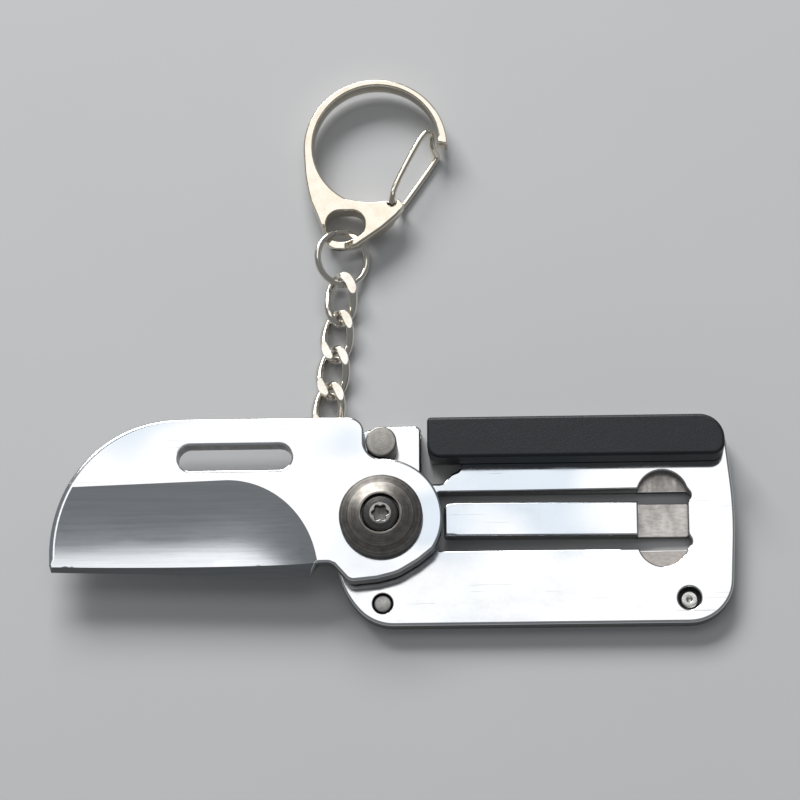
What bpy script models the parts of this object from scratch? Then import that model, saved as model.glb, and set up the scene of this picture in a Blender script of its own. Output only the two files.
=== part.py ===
"""A keychain folding tool: one thick steel handle plate with a frame lock, a cleaver-style folding blade
on its front face, a black edge guard, and a curb chain with a wire-gate snap clasp.

The frame: the origin is on the blade's pivot axis at the handle's back face. +X runs along the handle to
its end, so the open blade points to -X. +Y points to the edge guard's side, and +Z to the front.
The solids are written in metres. The constants are in millimetres, and mm() converts them.
"""

import math

import bmesh
import bpy
from mathutils import Matrix, Vector

# ---- driving dimensions, in millimetres and degrees ----

GAP = 0.2                       # clearance between two pieces that touch in the real object
ROUND = 32                      # sides of the turned pieces
FILLET_STEPS = 4
THROUGH = (-1.0, 12.0)          # heights of a cut that goes right through

PLATE_T = 3.0                   # handle plate, from z = 0
PLATE_BOTTOM, PLATE_TOP = -15.1, 15.05
PLATE_END = 50.0                # right edge at its corners, which bows out to PLATE_BOW
PLATE_BOW = 51.4
TAB_RIGHT, TAB_TOP = 5.7, 14.8  # stop-pin tab
NOTCH_BOTTOM, NOTCH_RIGHT = 6.0, 11.2
GUARD_LEFT, GUARD_RIGHT, GUARD_LOW, GUARD_TOP = 6.7, 49.9, 8.85, 14.95

WASHER_Z = (PLATE_T + GAP, 4.1)
BLADE_Z = (4.3, 7.3)
COLLAR_Z = (BLADE_Z[1] + GAP, 10.5)
COLLAR_R, COLLAR_RIM_R = 6.05, 3.15
PIVOT_R, PIVOT_HOLE_R = 2.5, 2.7

TANG_R = 8.85                   # round end of the blade's tang, about the pivot
STOP_Y, STOP_R, STOP_SEAT_R = 11.4, 2.25, 2.5
SPINE_Y = 15.1
NOSE = (-29.8, -4.5, 18.55, 19.6)   # quarter ellipse of the blade's nose: centre x, y and half axes
EDGE_TIP, EDGE_HEEL = (-48.0, -7.25), (-10.3, -8.35)    # ends of the cutting edge
GRIND_TOP_Y, GRIND_END_X = 5.6, -20.9
EDGE_T = 1.0                    # blade thickness where the cutting facets begin
FACET_Y, FACET_W = -6.8, 1.15   # where the grind is at its deepest, and width of the cutting facets
EDGE_LAND = 0.04                # thickness left at the very edge
SLOT = (-21.37, 9.2, 16.75, 3.83)   # finger slot: centre x, y, length and width

BAR_Y = (-2.1, 2.9)             # lock bar
BAR_TIP_X, NECK_X = 9.35, 41.5
SLIT_Y = (-4.1, 4.7)
SLIT_LEFT, SLIT_RIGHT = 7.7, 45.0
RELIEF_X, RELIEF_R, RELIEF_Y = 40.8, 3.65, (-6.75, 7.55)
RELIEF_FLOOR = 1.2
BAR_LIFT_DEG = 1.7              # how far the bar springs up from the plate at rest

LUG = (-8.6, 10.7, 1.85)        # hole for the chain's end ring: x, y and radius
LUG_Z = (1.25, 2.15)
RING_WIRE_R = 0.5
END_RING_C = (-8.35, 13.3, 1.7)
LINK_WIRE_R, LINK_HALF_W, LINK_HALF_L = 0.66, 1.9, 3.6
LINK_FLAT_Z = 1.15              # the curb links are ground flat at this height above and below their middles
LINK_CENTRES = ((-8.0, 17.9, 1.55), (-7.35, 23.4, 1.55), (-6.75, 29.0, 1.55), (-6.2, 34.6, 1.9))
LINK_PITCH_DEG = (0.0, 0.0, 0.0, 8.0)   # how far each link's upper end is raised
LINK_TWIST_DEG = 48.0
LINK_SQUARENESS = 2.8           # 2 is an ellipse
LINK_STEPS = 28
JUMP_C, JUMP_R = (-5.95, 40.8, 2.65), 4.0   # jump ring: its centre, and the radius of its wire's axis
JUMP_ROLL_DEG, JUMP_PITCH_DEG = 28.0, 5.0

CLASP_Z = (1.05, 4.35)
CLASP_C, CLASP_R = (-0.9, 57.75), 10.85       # outside of the clasp's ring
CLASP_IN_C, CLASP_IN_R = (-0.8, 58.05), 9.45  # and its inside, a little off that centre
EYE = (-5.38, 45.6, 5.7, 4.4)   # eye of the clasp: centre x, y, length and width
EYE_WEB_Z = (2.3, 3.1)          # the bar below the eye, where the jump ring passes
EYE_BACK_R = 5.8                # hollow for the jump ring in the clasp's back
GATE_WIRE_R = 0.45
GATE_Z = (0.5, 4.9)             # the back and the front leg
GATE_PIVOT = (1.55, 48.95)      # the front leg's end, which the gate turns about
GATE_HEEL = (2.75, 48.8)        # the back leg's end
GATE_RANGE_DEG = 35.0
GATE_HOLE_Z = (2.2, 3.0)        # depth of the back leg's slot, and floor of the front leg's notch
GATE_SLOT_EXTRA_DEG = 28.0

STEEL = (0.83, 0.83, 0.84)
DARK_STEEL = (0.35, 0.33, 0.32)
BLACK = (0.02, 0.02, 0.022)
NICKEL = (0.78, 0.74, 0.68)
BRONZE = (0.65, 0.45, 0.25)

PARTS = None
CUTTERS = None


# ---- helpers ----

def mm(value):
    return value * 0.001


def clear_scene():
    for obj in list(bpy.data.objects):
        bpy.data.objects.remove(obj, do_unlink=True)


def new_collection(name):
    collection = bpy.data.collections.new(name)
    bpy.context.scene.collection.children.link(collection)
    return collection


def make_material(name, colour, metallic, roughness):
    material = bpy.data.materials.new(name)
    material.use_nodes = True
    shader = material.node_tree.nodes["Principled BSDF"]
    shader.inputs["Base Color"].default_value = (*colour, 1.0)
    shader.inputs["Metallic"].default_value = metallic
    shader.inputs["Roughness"].default_value = roughness
    return material


def add_part(name, mesh, colour, metallic=1.0, roughness=0.25, origin=(0.0, 0.0, 0.0)):
    """Put a mesh, whose points are in millimetres about origin, into the scene as one named piece."""
    mesh.name = name
    mesh.transform(Matrix.Scale(0.001, 4))
    obj = bpy.data.objects.new(name, mesh)
    obj.location = [mm(v) for v in origin]
    obj.data.materials.clear()
    obj.data.materials.append(make_material(name, colour, metallic, roughness))
    mesh.shade_smooth()
    mesh.set_sharp_from_angle(angle=math.radians(35))
    PARTS.objects.link(obj)
    return obj


def add_cutter(name, mesh):
    mesh.name = name
    mesh.transform(Matrix.Scale(0.001, 4))
    obj = bpy.data.objects.new(name, mesh)
    obj.hide_render = True
    obj.display_type = "WIRE"
    CUTTERS.objects.link(obj)
    return obj


def subtract(target, tool):
    modifier = target.modifiers.new(tool.name, "BOOLEAN")
    modifier.operation = "DIFFERENCE"
    modifier.solver = "EXACT"
    modifier.object = tool


def arc(cx, cy, radius, start_deg, end_deg, steps):
    """Points on an arc, from one angle to the other, both ends included."""
    angles = [math.radians(start_deg + (end_deg - start_deg) * n / steps) for n in range(steps + 1)]
    return [(cx + radius * math.cos(a), cy + radius * math.sin(a)) for a in angles]


def fillet(corners):
    """An outline from its corners (x, y) or (x, y, radius), with the round ones as arcs."""
    points = []
    for n, corner in enumerate(corners):
        here = Vector(corner[:2])
        radius = corner[2] if len(corner) > 2 else 0.0
        if radius == 0.0:
            points.append(tuple(here))
            continue
        before = (Vector(corners[n - 1][:2]) - here).normalized()
        after = (Vector(corners[(n + 1) % len(corners)][:2]) - here).normalized()
        half = before.angle(after) / 2
        centre = here + (before + after).normalized() * radius / math.sin(half)
        first = here + before * radius / math.tan(half) - centre
        last = here + after * radius / math.tan(half) - centre
        turn = first.angle_signed(last)
        for k in range(FILLET_STEPS + 1):
            points.append(tuple(centre + Matrix.Rotation(-turn * k / FILLET_STEPS, 2) @ first))
    return points


def mesh_from_curve(curve):
    """The closed mesh that a curve makes, with its caps welded to its sides."""
    obj = bpy.data.objects.new("curve", curve)
    bpy.context.scene.collection.objects.link(obj)
    evaluated = obj.evaluated_get(bpy.context.evaluated_depsgraph_get())
    mesh = bpy.data.meshes.new_from_object(evaluated)
    bpy.data.objects.remove(obj, do_unlink=True)
    bpy.data.curves.remove(curve)
    bm = bmesh.new()
    bm.from_mesh(mesh)
    bmesh.ops.remove_doubles(bm, verts=bm.verts, dist=0.001)
    bmesh.ops.recalc_face_normals(bm, faces=bm.faces)
    bm.to_mesh(mesh)
    bm.free()
    return mesh


def spline_curve(name, points, dimensions, cyclic=True):
    curve = bpy.data.curves.new(name, "CURVE")
    curve.dimensions = dimensions
    spline = curve.splines.new("POLY")
    spline.points.add(len(points) - 1)
    for target, point in zip(spline.points, points):
        target.co = (*point, 1.0) if len(point) == 3 else (*point, 0.0, 1.0)
    spline.use_cyclic_u = cyclic
    return curve


def flat_mesh(outline, z_low, z_high):
    """A closed outline, extruded from z_low to z_high."""
    curve = spline_curve("outline", outline, "2D")
    curve.fill_mode = "BOTH"
    curve.extrude = (z_high - z_low) / 2
    mesh = mesh_from_curve(curve)
    mesh.transform(Matrix.Translation((0.0, 0.0, (z_low + z_high) / 2)))
    return mesh


def wire_mesh(points, radius, cyclic=True):
    """A round wire along the points."""
    curve = spline_curve("wire", points, "3D", cyclic)
    curve.bevel_depth = radius
    curve.bevel_resolution = 2
    curve.use_fill_caps = not cyclic
    return mesh_from_curve(curve)


def turned(name, profile, colour, metallic=1.0, roughness=0.3, at=(0.0, 0.0)):
    """A turned piece: a profile of (radius, z), from the axis at the top down to the axis at the bottom."""
    mesh = bpy.data.meshes.new(name)
    points = [(radius, 0.0, z) for radius, z in profile]
    closed = profile[0][0] > 0.0
    edges = [(n, n + 1) for n in range(len(points) - 1)]
    if closed:
        edges.append((len(points) - 1, 0))
    mesh.from_pydata(points, edges, [])
    obj = add_part(name, mesh, colour, metallic, roughness, (at[0], at[1], 0.0))
    screw = obj.modifiers.new("turn", "SCREW")
    screw.steps = ROUND
    screw.render_steps = ROUND
    screw.use_merge_vertices = True
    screw.merge_threshold = 0.00001
    return obj


def cone_mesh(x, y, low_radius, high_radius, z_low, z_high, sides):
    bm = bmesh.new()
    place = Matrix.Translation((x, y, (z_low + z_high) / 2))
    bmesh.ops.create_cone(bm, cap_ends=True, segments=sides, radius1=low_radius, radius2=high_radius,
                          depth=z_high - z_low, matrix=place)
    mesh = bpy.data.meshes.new("cone")
    bm.to_mesh(mesh)
    bm.free()
    return mesh


def drill(target, x, y, radius, z_low, z_high, sides=ROUND, top_radius=None):
    """Cut a round hole, which tapers if top_radius is given."""
    high = radius if top_radius is None else top_radius
    subtract(target, add_cutter(target.name + "_hole", cone_mesh(x, y, radius, high, z_low, z_high, sides)))


def cut_flat(target, outline, z_low, z_high):
    subtract(target, add_cutter(target.name + "_cut", flat_mesh(outline, z_low, z_high)))


def stadium(x, y, length, width):
    """A slot's outline, with its length along X."""
    reach = (length - width) / 2
    return arc(x + reach, y, width / 2, -90, 90, 8) + arc(x - reach, y, width / 2, 90, 270, 8)


def box_outline(x_low, x_high, y_low, y_high):
    return [(x_low, y_low), (x_high, y_low), (x_high, y_high), (x_low, y_high)]


def relief_outline():
    """The pocket that thins the lock bar's neck: a slot across the bar."""
    low, high = RELIEF_Y[0] + RELIEF_R, RELIEF_Y[1] - RELIEF_R
    return arc(RELIEF_X, low, RELIEF_R, 180, 360, 10) + arc(RELIEF_X, high, RELIEF_R, 0, 180, 10)


# ---- handle ----

GUARD_SCREWS = ((13.0, 12.3), (43.5, 12.3))
GUARD_HOLE_TOP = 6.2            # the screws' threaded holes are blind
FRONT_PIN = (0.0, -11.8)
REAR_PIN = (44.4, -11.5)
PIN_R, PIN_BACK = 1.3, 0.2      # the two small pins, and where every pin ends behind
STOP_STEM_R = 1.5
FLANGE_R, FLANGE_T = 4.0, 0.9   # the pivot barrel's head, let into the plate's back
SCREW_STEM_R = 1.0
COUNTERSINK_R = 3.4             # at the low end of the through cut
COUNTERSINK_Z = 1.3             # its depth in the plate


def plate_outline():
    """From the lower left corner, counter-clockwise."""
    left_low = [(-6.4, -7.5), (-5.4, -10.6, 3.0), (-1.6, PLATE_BOTTOM, 4.5)]
    right = [(PLATE_END + 0.6, PLATE_BOTTOM, 6.5), (PLATE_BOW, 1.5, 60.0), (PLATE_END, PLATE_TOP, 4.0)]
    left = GUARD_LEFT + GAP
    notch = [(left, PLATE_TOP), (left, GUARD_LOW + 0.6), (NOTCH_RIGHT, GUARD_LOW + 0.6, 0.6),
             (NOTCH_RIGHT, 7.75, 0.6), (9.95, 7.5, 0.9), (8.9, NOTCH_BOTTOM, 1.3),
             (TAB_RIGHT, NOTCH_BOTTOM, 1.2)]
    tab = [(TAB_RIGHT, TAB_TOP, 0.6), (-0.6, TAB_TOP, 2.0), (-3.6, 13.6, 2.0)]
    lug = [(-5.6, 12.9, 1.0), (LUG[0] - 2.2, 12.9, 2.0), (-12.0, 9.5, 2.5), (-9.4, 2.0, 6.0)]
    return fillet(left_low + right + notch + tab + lug)


def build_plate():
    plate = add_part("handle_plate", flat_mesh(plate_outline(), 0.0, PLATE_T), STEEL, 1.0, 0.08)
    low, high = SLIT_Y
    neck = NECK_X + GAP / 2
    opening = [(SLIT_LEFT, low, 0.8), (neck, low), (neck, high), (SLIT_LEFT, high, 0.8)]
    cut_flat(plate, fillet(opening), *THROUGH)
    for low, high in ((SLIT_Y[0], BAR_Y[0]), (BAR_Y[1], SLIT_Y[1])):
        middle, width = (low + high) / 2, high - low
        slit = stadium((NECK_X + SLIT_RIGHT) / 2, middle, SLIT_RIGHT - NECK_X + width, width)
        cut_flat(plate, slit, *THROUGH)
    cut_flat(plate, relief_outline(), RELIEF_FLOOR, THROUGH[1])
    lug_zone = box_outline(-13.0, LUG[0] + 2.6, 8.0, 14.0)
    cut_flat(plate, lug_zone, LUG_Z[1], THROUGH[1])
    cut_flat(plate, lug_zone, THROUGH[0], LUG_Z[0])
    drill(plate, LUG[0], LUG[1], LUG[2], *THROUGH, 24)
    drill(plate, 0.0, 0.0, PIVOT_HOLE_R, *THROUGH)
    drill(plate, 0.0, 0.0, FLANGE_R + GAP, THROUGH[0], FLANGE_T + GAP)
    drill(plate, 0.0, STOP_Y, STOP_STEM_R + GAP, *THROUGH, 20)
    drill(plate, *FRONT_PIN, PIN_R + GAP, *THROUGH, 20)
    drill(plate, *REAR_PIN, PIN_R + 2 * GAP, *THROUGH, 20)
    for x, y in GUARD_SCREWS:
        drill(plate, x, y, SCREW_STEM_R + GAP, *THROUGH, 16)
        drill(plate, x, y, COUNTERSINK_R, THROUGH[0], COUNTERSINK_Z, 16, SCREW_STEM_R + GAP)


def build_lock_bar():
    """The bar lies along -X from its neck, and is sprung up about an axis along Y through the neck."""
    outline = [(NECK_X - GAP / 2, BAR_Y[0]), (NECK_X - GAP / 2, BAR_Y[1]), (BAR_TIP_X, BAR_Y[1], 0.9),
               (BAR_TIP_X, BAR_Y[0], 0.5)]
    mesh = flat_mesh(fillet(outline), 0.0, PLATE_T)
    origin = Vector((NECK_X, 0.0, RELIEF_FLOOR / 2))
    mesh.transform(Matrix.Translation(-origin))
    bar = add_part("lock_bar", mesh, STEEL, 1.0, 0.08, origin)
    bar.rotation_euler = (0.0, math.radians(BAR_LIFT_DEG), 0.0)
    pocket = flat_mesh(relief_outline(), RELIEF_FLOOR, PLATE_T + 1.0)
    pocket.transform(Matrix.Translation(-origin))
    tool = add_cutter("lock_bar_relief", pocket)
    tool.location = bar.location
    tool.rotation_euler = bar.rotation_euler
    subtract(bar, tool)


def build_guard():
    corners = [(GUARD_LEFT, GUARD_TOP, 0.6), (GUARD_LEFT, GUARD_LOW, 1.9), (GUARD_RIGHT, GUARD_LOW, 1.8),
               (GUARD_RIGHT, GUARD_TOP, 3.7)]
    mesh = flat_mesh(fillet(corners), PLATE_T + GAP, BLADE_Z[1])
    bm = bmesh.new()
    bm.from_mesh(mesh)
    top = [e for e in bm.edges if all(v.co.z > BLADE_Z[1] - 0.01 for v in e.verts) and len(e.link_faces) == 2
           and any(abs(f.normal.z) < 0.5 for f in e.link_faces)]
    bmesh.ops.bevel(bm, geom=top, offset=0.45, segments=1, affect="EDGES")
    bmesh.ops.recalc_face_normals(bm, faces=bm.faces)
    bm.to_mesh(mesh)
    bm.free()
    guard = add_part("edge_guard", mesh, BLACK, 0.0, 0.45)
    for x, y in GUARD_SCREWS:
        drill(guard, x, y, SCREW_STEM_R + GAP, 0.0, GUARD_HOLE_TOP, 16)


def build_guard_screws():
    stem = SCREW_STEM_R - 0.05
    end = GUARD_HOLE_TOP - 0.4
    head = [(2.15, 0.05), (1.0, 0.05), (0.8, 0.7), (0.0, 0.7)]
    profile = [(0.0, end), (stem, end), (stem, COUNTERSINK_Z)] + head
    for name, (x, y) in zip(("guard_screw_front", "guard_screw_rear"), GUARD_SCREWS):
        turned(name, profile, DARK_STEEL, at=(x, y))


def build_pins():
    turned("stop_pin", [(0.0, BLADE_Z[1]), (1.95, BLADE_Z[1]), (STOP_R, 7.0), (STOP_R, PLATE_T + GAP),
                        (STOP_STEM_R, PLATE_T + GAP), (STOP_STEM_R, PIN_BACK), (0.0, PIN_BACK)],
           DARK_STEEL, at=(0.0, STOP_Y))
    turned("front_pin", [(0.0, 2.9), (PIN_R - 0.15, 2.9), (PIN_R, 2.75), (PIN_R, PIN_BACK), (0.0, PIN_BACK)],
           STEEL, at=FRONT_PIN)
    turned("rear_pin", [(0.0, 1.5), (0.35, 1.9), (PIN_R - 0.2, 1.9), (PIN_R, 1.7), (PIN_R, PIN_BACK),
                        (0.0, PIN_BACK)], STEEL, at=REAR_PIN)


# ---- pivot ----

BORE_R, SLEEVE_TOP = 1.3, 8.8   # the pivot barrel's threaded bore, and the end of its sleeve
WASHER_R, WASHER_TOP_R = 6.0, 4.7
WASHER_TOP_Z = (COLLAR_Z[0], 8.0)
HEAD_SEAT_R, HEAD_SEAT_Z = 2.85, 9.0
SOCKET_R, SOCKET_FLOOR = 1.15, 9.4


def washer(name, radius, low, high):
    turned(name, [(PIVOT_HOLE_R, high), (radius, high), (radius, low), (PIVOT_HOLE_R, low)], BRONZE)


def build_pivot():
    bore = [(0.0, 3.0), (BORE_R, 3.0), (BORE_R, SLEEVE_TOP)]
    sleeve = [(PIVOT_R, SLEEVE_TOP), (PIVOT_R, FLANGE_T), (FLANGE_R, FLANGE_T), (FLANGE_R, 0.0), (0.0, 0.0)]
    turned("pivot_barrel", bore + sleeve, DARK_STEEL)
    washer("washer_lower", WASHER_R, *WASHER_Z)
    washer("washer_upper", WASHER_TOP_R, *WASHER_TOP_Z)
    low, high = COLLAR_Z
    recess = WASHER_TOP_R + GAP
    ceiling = WASHER_TOP_Z[1] + GAP
    cone = [(COLLAR_RIM_R, high), (5.8, 9.15), (COLLAR_R, 8.7), (COLLAR_R, low)]
    inside = [(recess, low), (recess, ceiling), (PIVOT_HOLE_R, ceiling), (PIVOT_HOLE_R, HEAD_SEAT_Z),
              (HEAD_SEAT_R, HEAD_SEAT_Z)]
    turned("pivot_collar", [(HEAD_SEAT_R, high)] + cone + inside, DARK_STEEL, 1.0, 0.35)
    under = HEAD_SEAT_Z + GAP
    stem = BORE_R - GAP
    head = HEAD_SEAT_R - 0.25
    button = [(0.0, 10.35), (1.3, 10.3), (2.1, 10.05), (head, 9.6), (head, under)]
    screw = turned("pivot_screw", button + [(stem, under), (stem, 3.4), (0.0, 3.4)], BLACK, 1.0, 0.4)
    drill(screw, 0.0, 0.0, SOCKET_R, SOCKET_FLOOR, THROUGH[1], 6)


# ---- blade ----

GRIND_SWEEP_R = 11.6            # the grind runs out at the heel on this radius
TOOL_HEIGHT = 4.0               # of the wedges that cut the grind and the facets

def blade_outline():
    """From the heel, clockwise along the edge, the nose, the spine and round the tang."""
    x, y, a, b = NOSE
    turns = [math.radians(90 * n / 14) for n in range(15)]
    nose = [(x - a * math.cos(t), y + b * math.sin(t)) for t in turns]
    seat = arc(0.0, STOP_Y, STOP_SEAT_R, 180, 262, 6)
    spine = fillet([(-8.0, SPINE_Y), (-STOP_SEAT_R, SPINE_Y, 2.2), (-STOP_SEAT_R, 12.0)])
    tang = arc(0.0, 0.0, TANG_R, 91, -32, 16)
    under = fillet([(7.0, -5.2), (5.4, -6.4, 4.0), (2.4, -8.2, 6.0), (-0.6, -8.95), (-4.6, -9.35, 1.6),
                    (-7.2, -6.45, 1.6), (-9.3, -6.5, 0.5), EDGE_HEEL])[1:-1]
    return [EDGE_HEEL, EDGE_TIP, (-48.3, -6.2)] + nose + spine[1:] + seat[1:] + tang + under


def grind_tool(name, mirrored):
    """The wedge of air that one side's grind removes, with its end swept round at the heel."""
    swept = arc(GRIND_END_X, GRIND_TOP_Y - GRIND_SWEEP_R, GRIND_SWEEP_R, 90, 4, 10)
    outline = [(-60.0, GRIND_TOP_Y), (-60.0, -20.0), (-9.1, -20.0), (-9.1, -6.4)] + swept[::-1]
    mesh = flat_mesh(outline, 0.0, TOOL_HEIGHT)
    depth = (BLADE_Z[1] - BLADE_Z[0] - EDGE_T) / 2
    slope = math.atan2(depth, GRIND_TOP_Y - FACET_Y)
    mesh.transform(Matrix.Translation((0.0, GRIND_TOP_Y, BLADE_Z[1]))
                   @ Matrix.Rotation(slope, 4, "X") @ Matrix.Translation((0.0, -GRIND_TOP_Y, 0.0)))
    return side_tool(name, mesh, mirrored)


def facet_tool(name, mirrored):
    """The wedge of air that leaves one side's narrow cutting facet."""
    middle = (BLADE_Z[0] + BLADE_Z[1]) / 2
    heading = math.atan2(EDGE_HEEL[1] - EDGE_TIP[1], EDGE_HEEL[0] - EDGE_TIP[0])
    slope = math.atan2((EDGE_T - EDGE_LAND) / 2, FACET_W)
    mesh = flat_mesh(box_outline(-50.0, 3.0, -12.0, 0.0), 0.0, TOOL_HEIGHT)
    mesh.transform(Matrix.Translation((EDGE_HEEL[0], EDGE_HEEL[1] + FACET_W, middle + EDGE_T / 2))
                   @ Matrix.Rotation(heading, 4, "Z") @ Matrix.Rotation(slope, 4, "X"))
    return side_tool(name, mesh, mirrored)


def side_tool(name, mesh, mirrored):
    """A cutter for the blade's front face, or its mirror image for the back face."""
    if mirrored:
        middle = (BLADE_Z[0] + BLADE_Z[1]) / 2
        mirror = Matrix.Scale(-1.0, 4, (0.0, 0.0, 1.0))
        mesh.transform(Matrix.Translation((0.0, 0.0, 2.0 * middle)) @ mirror)
        mesh.flip_normals()
    return add_cutter(name, mesh)


def build_blade():
    blade = add_part("blade", flat_mesh(blade_outline(), *BLADE_Z), STEEL, 1.0, 0.1)
    for side, mirrored in (("front", False), ("back", True)):
        subtract(blade, grind_tool("grind_" + side, mirrored))
        subtract(blade, facet_tool("facet_" + side, mirrored))
    cut_flat(blade, stadium(*SLOT), *THROUGH)
    drill(blade, 0.0, 0.0, PIVOT_HOLE_R, *THROUGH)


# ---- chain and clasp ----

def link_points():
    """A curb link's wire about its middle: a long loop whose ends are twisted opposite ways."""
    power = 2.0 / LINK_SQUARENESS
    points = []
    for n in range(LINK_STEPS):
        angle = 2 * math.pi * n / LINK_STEPS
        c, s = math.cos(angle), math.sin(angle)
        w = LINK_HALF_W * math.copysign(abs(c) ** power, c)
        y = LINK_HALF_L * math.copysign(abs(s) ** power, s)
        twist = math.radians(LINK_TWIST_DEG) * y / LINK_HALF_L
        points.append((w * math.cos(twist), y, w * math.sin(twist)))
    return points


def oval_points(half_width, half_length, count):
    angles = [2 * math.pi * n / count for n in range(count)]
    return [(half_width * math.cos(a), half_length * math.sin(a), 0.0) for a in angles]


def placed(points, centre, pivot, heading=0.0, pitch=0.0, roll=0.0):
    """Roll a piece of the chain about its long axis, pitch it, turn it and place it about its pivot."""
    turn = Matrix.Rotation(math.radians(heading), 4, "Z") @ Matrix.Rotation(math.radians(pitch), 4, "X")
    turn = turn @ Matrix.Rotation(math.radians(roll), 4, "Y")
    moved = Matrix.Translation((centre[0] - pivot[0], centre[1] - pivot[1], centre[2])) @ turn
    return [tuple(moved @ Vector(p)) for p in points]


def between(first, second, share=0.5):
    return (first[0] + (second[0] - first[0]) * share, first[1] + (second[1] - first[1]) * share)


def chain_pivots():
    """Where each piece of the chain turns on the one before it, from the handle to the clasp."""
    pivots = [(LUG[0], LUG[1] + 1.0), between(END_RING_C, LINK_CENTRES[0], 0.4)]
    for first, second in zip(LINK_CENTRES[:-1], LINK_CENTRES[1:]):
        pivots.append(between(first, second))
    pivots.append(between(LINK_CENTRES[-1], JUMP_C, 0.47))
    pivots.append((JUMP_C[0], JUMP_C[1] + 3.2))
    return pivots


def add_wire(name, points, radius, pivot, cyclic=True):
    return add_part(name, wire_mesh(points, radius, cyclic), NICKEL, 1.0, 0.2, (*pivot, 0.0))


def build_chain():
    pivots = chain_pivots()
    ring = placed(oval_points(1.6, 2.45, 24), END_RING_C, pivots[0], -4.0, 0.0, -45.0)
    add_wire("end_ring", ring, RING_WIRE_R, pivots[0])
    stops = [END_RING_C] + list(LINK_CENTRES) + [JUMP_C]
    for n, (centre, pitch) in enumerate(zip(LINK_CENTRES, LINK_PITCH_DEG)):
        below, above = stops[n], stops[n + 2]
        heading = math.degrees(math.atan2(above[1] - below[1], above[0] - below[0])) - 90.0
        points = placed(link_points(), centre, pivots[n + 1], heading, pitch)
        link = add_wire("chain_link_%d" % (n + 1), points, LINK_WIRE_R, pivots[n + 1])
        low, high = mm(centre[2] - LINK_FLAT_Z), mm(centre[2] + LINK_FLAT_Z)
        for vertex in link.data.vertices:
            vertex.co.z = min(max(vertex.co.z, low), high)
    ring = placed(oval_points(JUMP_R, JUMP_R, 32), JUMP_C, pivots[5], 0.0, JUMP_PITCH_DEG, JUMP_ROLL_DEG)
    add_wire("jump_ring", ring, RING_WIRE_R, pivots[5])


def clasp_outline():
    """The clasp's body: a ring open at its lower right, on a solid foot. From the nose, counter-clockwise."""
    nose = [(8.6, 59.05), (8.32, 58.75), (8.31, 58.4)]
    outer = arc(*CLASP_C, CLASP_R, 1.5, 184, 30)
    foot = fillet([outer[-1], (-11.5, 53.5, 18.0), (-10.85, 49.9, 12.0), (-9.75, 47.4, 12.0),
                   (-8.8, 44.8, 4.0),
                   (-8.4, 42.1, 2.2), (-3.9, 42.1, 1.4), (0.1, 44.9, 8.0), (2.5, 47.0, 4.0), (3.5, 48.5, 0.5),
                   (2.65, 49.6, 0.4), (0.7, 49.35), (-2.2, 49.05, 9.0), (-5.5, 49.86)])
    inner = arc(*CLASP_IN_C, CLASP_IN_R, 240, 6, 26)
    return nose + outer + foot[1:-1] + inner


def gate_slot_outline():
    """The back leg's end sweeps this band about the gate's pivot. It is open towards the clasp's side."""
    reach = math.dist(GATE_PIVOT, GATE_HEEL)
    start = math.degrees(math.atan2(GATE_HEEL[1] - GATE_PIVOT[1], GATE_HEEL[0] - GATE_PIVOT[0]))
    first, last = start - GATE_SLOT_EXTRA_DEG, start + GATE_RANGE_DEG + GATE_SLOT_EXTRA_DEG
    wide = arc(*GATE_PIVOT, reach + 2 * GATE_WIRE_R + GAP, first, last, 8)
    near = arc(*GATE_PIVOT, reach - GATE_WIRE_R - GAP, last, first, 8)
    return wide + near


def build_clasp():
    pivot = chain_pivots()[6]
    body = add_part("clasp_body", flat_mesh(clasp_outline(), *CLASP_Z), NICKEL, 1.0, 0.2)
    body.data.transform(Matrix.Translation([mm(-v) for v in (*pivot, 0.0)]))
    body.location = [mm(v) for v in (*pivot, 0.0)]
    cut_flat(body, stadium(*EYE), *THROUGH)
    cut_flat(body, box_outline(-12.0, -4.8, 40.0, 44.6), EYE_WEB_Z[1], THROUGH[1])
    back = arc(JUMP_C[0], JUMP_C[1], EYE_BACK_R, -70, 109, 12)
    cut_flat(body, back, THROUGH[0], EYE_WEB_Z[0])
    notch_r = GATE_WIRE_R + GAP + 0.1
    x, y = GATE_PIVOT
    notch = arc(x, y, notch_r, 180, 360, 8) + [(x + notch_r, y + 2.0), (x - notch_r, y + 2.0)]
    cut_flat(body, notch, GATE_HOLE_Z[1], THROUGH[1])
    cut_flat(body, gate_slot_outline(), THROUGH[0], GATE_HOLE_Z[0])


def build_gate():
    """A bent wire: out of the front notch, up to the nose, back past its inner side, and down to the slot."""
    back, front = GATE_Z
    rise = [(*GATE_PIVOT, GATE_HOLE_Z[1] + 0.4), (*GATE_PIVOT, front - 0.6), (1.7, 49.7, front)]
    front_leg = [(1.95, 50.9, front), (4.0, 55.25, front), (6.1, 59.0, front), (6.8, 59.7, front - 0.1)]
    loop = [(7.35, 59.7, front - 0.6), (7.5, 59.1, 3.4), (7.6, 58.2, 2.4), (7.95, 57.6, 1.3)]
    back_leg = [(8.2, 57.2, back + 0.15), (7.9, 56.6, back), (3.75, 50.5, back)]
    x, y = GATE_HEEL
    heel = [(x + 0.15, y + 0.5, back + 0.1), (x, y, back + 0.5), (x, y, GATE_HOLE_Z[0] - 0.3)]
    route = rise + front_leg + loop + back_leg + heel
    points = [(x - GATE_PIVOT[0], y - GATE_PIVOT[1], z) for x, y, z in route]
    add_wire("clasp_gate", points, GATE_WIRE_R, GATE_PIVOT, cyclic=False)


def main():
    global PARTS, CUTTERS
    clear_scene()
    PARTS = new_collection("folding_tool")
    CUTTERS = new_collection("cutters")
    build_plate()
    build_lock_bar()
    build_guard()
    build_guard_screws()
    build_pins()
    build_pivot()
    build_blade()
    build_chain()
    build_clasp()
    build_gate()


main()
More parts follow.
